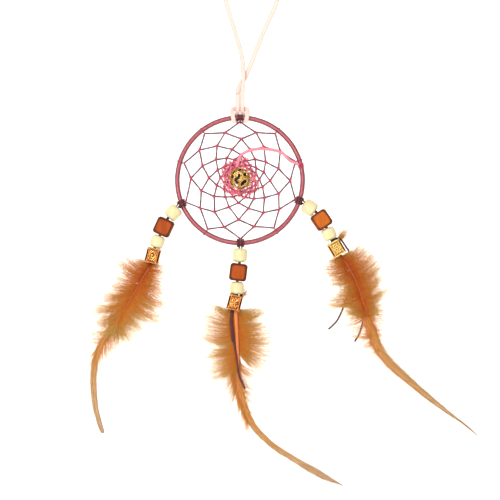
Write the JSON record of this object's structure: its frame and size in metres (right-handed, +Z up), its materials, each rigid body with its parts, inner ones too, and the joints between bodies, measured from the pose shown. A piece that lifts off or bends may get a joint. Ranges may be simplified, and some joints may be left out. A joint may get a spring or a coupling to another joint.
{
  "type": "dream catcher",
  "caption": "Small hoop dream catcher: thread-wrapped ring, knotted web with a pierced bead, suede hanging loop, and beaded cords ending in square metal beads with a down plume and a long curled feather",
  "frame": {"origin": "The flat underside of the lace loop at its highest stretch, where the loop rests on a nail or hook", "axes": "+Z up along the lace, +X to the viewer's right, +Y away from the viewer into the wall; the hoop lies in the XZ plane with its front facing -Y"},
  "size_m": [0.2705, 0.0144, 0.3856],
  "materials": {
    "steel_ring": "plain steel wire ring, hidden under its winding",
    "wrapping_thread": "glossy dusty-rose embroidery thread, wound tight",
    "web_thread": "fine mauve-pink sewing thread",
    "gilt_bead": "antique gilt, pierced or embossed, dark in the hollows",
    "suede": "pale peach suede lace with a soft nap",
    "waxed_cord": "dark maroon-brown waxed cotton cord",
    "cream_wood": "pale cream wood with a faint grain",
    "brown_wood": "orange-brown lacquered wood with darker rounded edges",
    "copper": "polished copper plate with embossed scrolls",
    "down": null,
    "feather": null
  },
  "bodies": {
    "hanger": {"hanger_lace": "suede"},
    "hoop": {"hoop_ring": "steel_ring", "hoop_wrap": "wrapping_thread", "web_thread": "web_thread"},
    "web_bead": {"center_bead": "gilt_bead"},
    "left_hitch": {"left_cord_hitch": "waxed_cord"},
    "left_top_cord": {"left_cord_upper": "waxed_cord"},
    "left_upper": {"left_upper_bead": "cream_wood"},
    "left_mid_cord": {"left_cord_middle": "waxed_cord"},
    "left_cube": {"left_cube_bead": "brown_wood"},
    "left_low_cord": {"left_cord_lower": "waxed_cord"},
    "left_lower": {"left_lower_bead": "cream_wood"},
    "left_tassel": {"left_metal_bead": "copper", "left_cord_tails": "waxed_cord"},
    "left_down": {"left_down_feather": "down"},
    "left_long": {"left_long_feather": "feather"},
    "middle_hitch": {"middle_cord_hitch": "waxed_cord"},
    "middle_top_cord": {"middle_cord_upper": "waxed_cord"},
    "middle_upper": {"middle_upper_bead": "cream_wood"},
    "middle_mid_cord": {"middle_cord_middle": "waxed_cord"},
    "middle_cube": {"middle_cube_bead": "brown_wood"},
    "middle_low_cord": {"middle_cord_lower": "waxed_cord"},
    "middle_lower": {"middle_lower_bead": "cream_wood"},
    "middle_tassel": {"middle_metal_bead": "copper", "middle_cord_tails": "waxed_cord"},
    "middle_down": {"middle_down_feather": "down"},
    "middle_long": {"middle_long_feather": "feather"},
    "right_hitch": {"right_cord_hitch": "waxed_cord"},
    "right_top_cord": {"right_cord_upper": "waxed_cord"},
    "right_upper": {"right_upper_bead": "cream_wood"},
    "right_mid_cord": {"right_cord_middle": "waxed_cord"},
    "right_cube": {"right_cube_bead": "brown_wood"},
    "right_low_cord": {"right_cord_lower": "waxed_cord"},
    "right_lower": {"right_lower_bead": "cream_wood"},
    "right_tassel": {"right_metal_bead": "gilt_bead", "right_cord_tails": "waxed_cord"},
    "right_down": {"right_down_feather": "down"},
    "right_long": {"right_long_feather": "feather"}
  },
  "joints": [
    {"name": "hanger_swing", "type": "hinge", "parent": "hanger", "child": "hoop", "pos_m": [-0.006, -0.0008, -0.12875], "axis": [1, 0, 0], "range_deg": [-75, 75]},
    {"name": "center_bead_spin", "type": "hinge", "parent": "hoop", "child": "web_bead", "pos_m": [-0.006, -0.0008, -0.1708], "axis": [0, 0, 1], "continuous": true},
    {"name": "left_roll", "type": "hinge", "parent": "hoop", "child": "left_hitch", "pos_m": [-0.0461, -0.0008, -0.1882], "axis": [-0.3746, 0, 0.9272], "range_deg": [-80, 80]},
    {"name": "left_swing", "type": "hinge", "parent": "left_hitch", "child": "left_top_cord", "pos_m": [-0.0461, -0.0008, -0.1882], "axis": [0, 1, 0], "range_deg": [-2, 45]},
    {"name": "left_upper_spin", "type": "hinge", "parent": "left_top_cord", "child": "left_upper", "pos_m": [-0.05201, -0.0008, -0.19432], "axis": [0.6947, 0, 0.7193], "continuous": true},
    {"name": "left_curl", "type": "hinge", "parent": "left_top_cord", "child": "left_mid_cord", "pos_m": [-0.05576, -0.0008, -0.1982], "axis": [0, 1, 0], "range_deg": [-7, 8]},
    {"name": "left_cube_spin", "type": "hinge", "parent": "left_mid_cord", "child": "left_cube", "pos_m": [-0.05859, -0.0008, -0.20427], "axis": [0.4226, 0, 0.9063], "continuous": true},
    {"name": "left_curl_lower", "type": "hinge", "parent": "left_mid_cord", "child": "left_low_cord", "pos_m": [-0.06127, -0.0008, -0.21003], "axis": [0, 1, 0], "range_deg": [-8, 8]},
    {"name": "left_lower_spin", "type": "hinge", "parent": "left_low_cord", "child": "left_lower", "pos_m": [-0.06301, -0.0008, -0.21434], "axis": [0.3746, 0, 0.9272], "continuous": true},
    {"name": "left_twist", "type": "hinge", "parent": "left_low_cord", "child": "left_tassel", "pos_m": [-0.06607, -0.0008, -0.22394], "axis": [0.2419, 0, 0.9703], "range_deg": [-90, 90]},
    {"name": "left_down_flex", "type": "hinge", "parent": "left_tassel", "child": "left_down", "pos_m": [-0.06607, -0.0008, -0.22394], "axis": [0, 1, 0], "range_deg": [-12, 12]},
    {"name": "left_long_flex", "type": "hinge", "parent": "left_tassel", "child": "left_long", "pos_m": [-0.06607, -0.0008, -0.22394], "axis": [0, 1, 0], "range_deg": [-10, 10]},
    {"name": "middle_roll", "type": "hinge", "parent": "hoop", "child": "middle_hitch", "pos_m": [-0.00562, -0.0008, -0.21525], "axis": [-1, 0, -0.0087], "range_deg": [-80, 80]},
    {"name": "middle_swing", "type": "hinge", "parent": "middle_hitch", "child": "middle_top_cord", "pos_m": [-0.00562, -0.0008, -0.21525], "axis": [0, 1, 0], "range_deg": [-18, 18]},
    {"name": "middle_upper_spin", "type": "hinge", "parent": "middle_top_cord", "child": "middle_upper", "pos_m": [-0.00607, -0.0008, -0.22374], "axis": [0.0523, 0, 0.9986], "continuous": true},
    {"name": "middle_curl", "type": "hinge", "parent": "middle_top_cord", "child": "middle_mid_cord", "pos_m": [-0.00634, -0.0008, -0.22893], "axis": [0, 1, 0], "range_deg": [-8, 8]},
    {"name": "middle_cube_spin", "type": "hinge", "parent": "middle_mid_cord", "child": "middle_cube", "pos_m": [-0.00713, -0.0008, -0.23538], "axis": [0.1219, 0, 0.9925], "continuous": true},
    {"name": "middle_curl_lower", "type": "hinge", "parent": "middle_mid_cord", "child": "middle_low_cord", "pos_m": [-0.00791, -0.0008, -0.24168], "axis": [0, 1, 0], "range_deg": [-8, 8]},
    {"name": "middle_lower_spin", "type": "hinge", "parent": "middle_low_cord", "child": "middle_lower", "pos_m": [-0.00807, -0.0008, -0.24633], "axis": [0.0349, 0, 0.9994], "continuous": true},
    {"name": "middle_twist", "type": "hinge", "parent": "middle_low_cord", "child": "middle_tassel", "pos_m": [-0.00965, -0.0008, -0.25624], "axis": [0.2588, 0, 0.9659], "range_deg": [-90, 90]},
    {"name": "middle_down_flex", "type": "hinge", "parent": "middle_tassel", "child": "middle_down", "pos_m": [-0.00965, -0.0008, -0.25624], "axis": [0, 1, 0], "range_deg": [-12, 12]},
    {"name": "middle_long_flex", "type": "hinge", "parent": "middle_tassel", "child": "middle_long", "pos_m": [-0.00965, -0.0008, -0.25624], "axis": [0, 1, 0], "range_deg": [-10, 10]},
    {"name": "right_roll", "type": "hinge", "parent": "hoop", "child": "right_hitch", "pos_m": [0.03489, -0.0008, -0.18608], "axis": [-0.3256, 0, -0.9455], "range_deg": [-80, 80]},
    {"name": "right_swing", "type": "hinge", "parent": "right_hitch", "child": "right_top_cord", "pos_m": [0.03489, -0.0008, -0.18608], "axis": [0, 1, 0], "range_deg": [-38, 10]},
    {"name": "right_upper_spin", "type": "hinge", "parent": "right_top_cord", "child": "right_upper", "pos_m": [0.04194, -0.0008, -0.19083], "axis": [-0.829, 0, 0.5592], "continuous": true},
    {"name": "right_curl", "type": "hinge", "parent": "right_top_cord", "child": "right_mid_cord", "pos_m": [0.04642, -0.0008, -0.19385], "axis": [0, 1, 0], "range_deg": [-8, 4]},
    {"name": "right_cube_spin", "type": "hinge", "parent": "right_mid_cord", "child": "right_cube", "pos_m": [0.05016, -0.0008, -0.19941], "axis": [-0.5592, 0, 0.829], "continuous": true},
    {"name": "right_curl_lower", "type": "hinge", "parent": "right_mid_cord", "child": "right_low_cord", "pos_m": [0.05371, -0.0008, -0.20467], "axis": [0, 1, 0], "range_deg": [-8, 4]},
    {"name": "right_lower_spin", "type": "hinge", "parent": "right_low_cord", "child": "right_lower", "pos_m": [0.05546, -0.0008, -0.20898], "axis": [-0.3746, 0, 0.9272], "continuous": true},
    {"name": "right_twist", "type": "hinge", "parent": "right_low_cord", "child": "right_tassel", "pos_m": [0.0605, -0.0008, -0.21895], "axis": [-0.515, 0, 0.8572], "range_deg": [-90, 90]},
    {"name": "right_down_flex", "type": "hinge", "parent": "right_tassel", "child": "right_down", "pos_m": [0.0605, -0.0008, -0.21895], "axis": [0, 1, 0], "range_deg": [-12, 12]},
    {"name": "right_long_flex", "type": "hinge", "parent": "right_tassel", "child": "right_long", "pos_m": [0.0605, -0.0008, -0.21895], "axis": [0, 1, 0], "range_deg": [-10, 10]}
  ]
}
